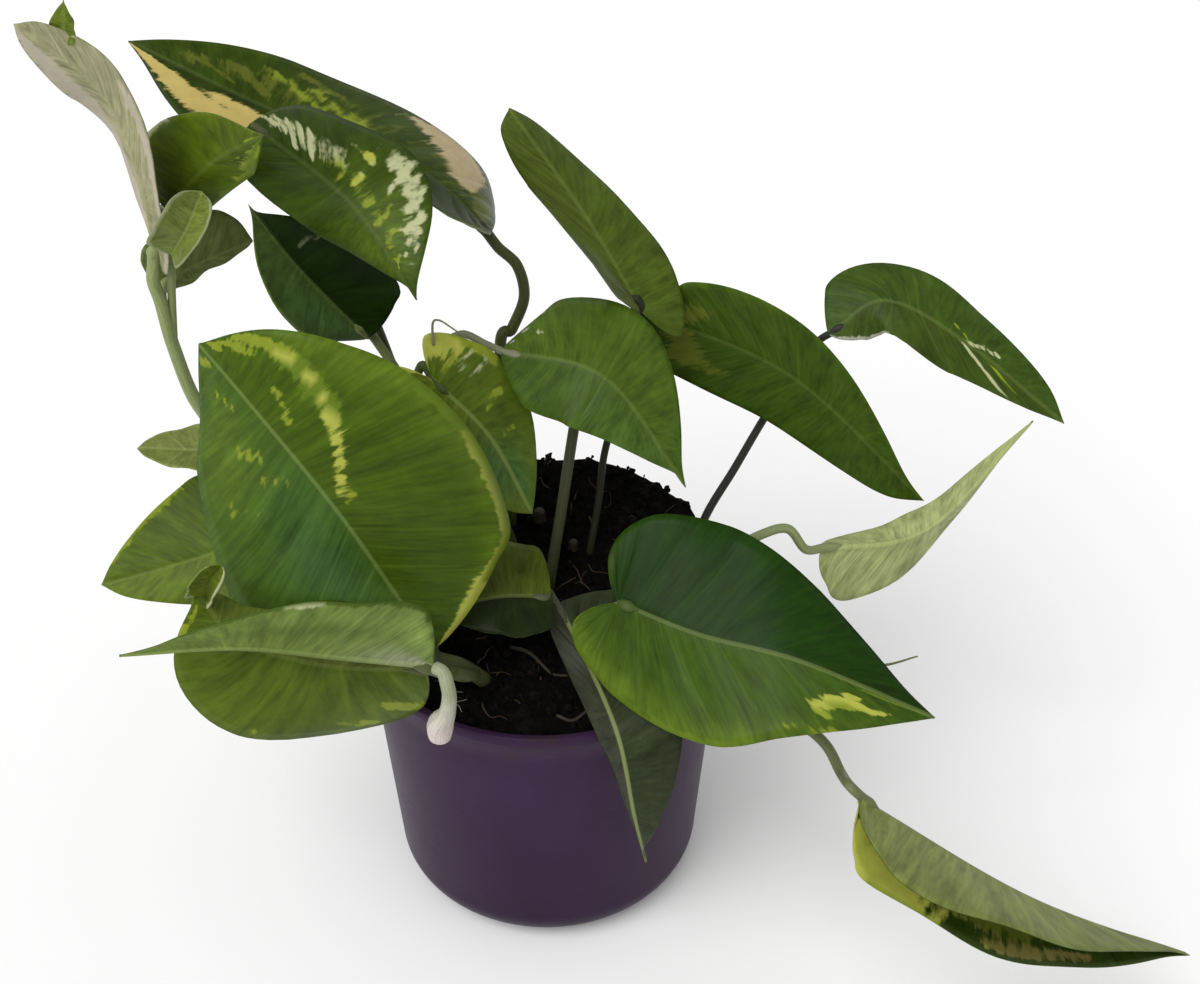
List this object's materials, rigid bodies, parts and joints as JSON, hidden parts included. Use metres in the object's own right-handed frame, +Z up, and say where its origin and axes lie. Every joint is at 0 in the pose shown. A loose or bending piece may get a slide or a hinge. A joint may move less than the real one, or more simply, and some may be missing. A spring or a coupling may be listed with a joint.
{
  "type": "potted plant",
  "caption": "Potted trailing pothos: heart-shaped variegated leaves on long arching stalks, rising and spilling over a tapered round nursery pot filled with soil",
  "frame": {"origin": "centre of the pot's flat underside, on the surface that it stands on", "axes": "+Z up along the pot's axis; -Y towards the front, where the two largest leaves hang over the rim; +X to the right, the plant's longest spread"},
  "size_m": [0.3482, 0.2063, 0.3041],
  "materials": {
    "pot": "satin moulded plastic, dark aubergine purple, faint soil stains below the rim",
    "soil": "moist dark compost with crumbs, fibres and thin roots",
    "stem": "smooth waxy green stem with pale nodes",
    "shoot": "pale pinkish cream new growth, waxy",
    "leaf": "glossy waxy green leaf with cream and yellow streaks and raised veins"
  },
  "bodies": {
    "root": {"leaf_centre": "leaf", "leaf_cupped": "leaf", "leaf_dark_folded": "leaf", "leaf_dark_under": "leaf", "leaf_front_heart": "leaf", "leaf_front_tall": "leaf", "leaf_left": "leaf", "leaf_left_small": "leaf", "leaf_long_right": "leaf", "leaf_low_front": "leaf", "leaf_low_right": "leaf", "leaf_middle": "leaf", "leaf_over_rim": "leaf", "leaf_over_soil": "leaf", "leaf_right_pale": "leaf", "leaf_top_back": "leaf", "leaf_top_front": "leaf", "leaf_top_left": "leaf", "leaf_top_middle": "leaf", "leaf_upper_left": "leaf", "leaf_upper_right": "leaf", "pale_shoot": "shoot", "pot": "pot", "soil": "soil", "stalk_centre": "stem", "stalk_dark_folded": "stem", "stalk_front_heart": "stem", "stalk_long_right": "stem", "stalk_middle": "stem", "stalk_top_back": "stem", "stalk_top_front": "stem", "stalk_top_middle": "stem", "stalk_upper_right": "stem", "vine_centre": "stem", "vine_front": "stem", "vine_left": "stem", "vine_right": "stem"}
  },
  "joints": []
}
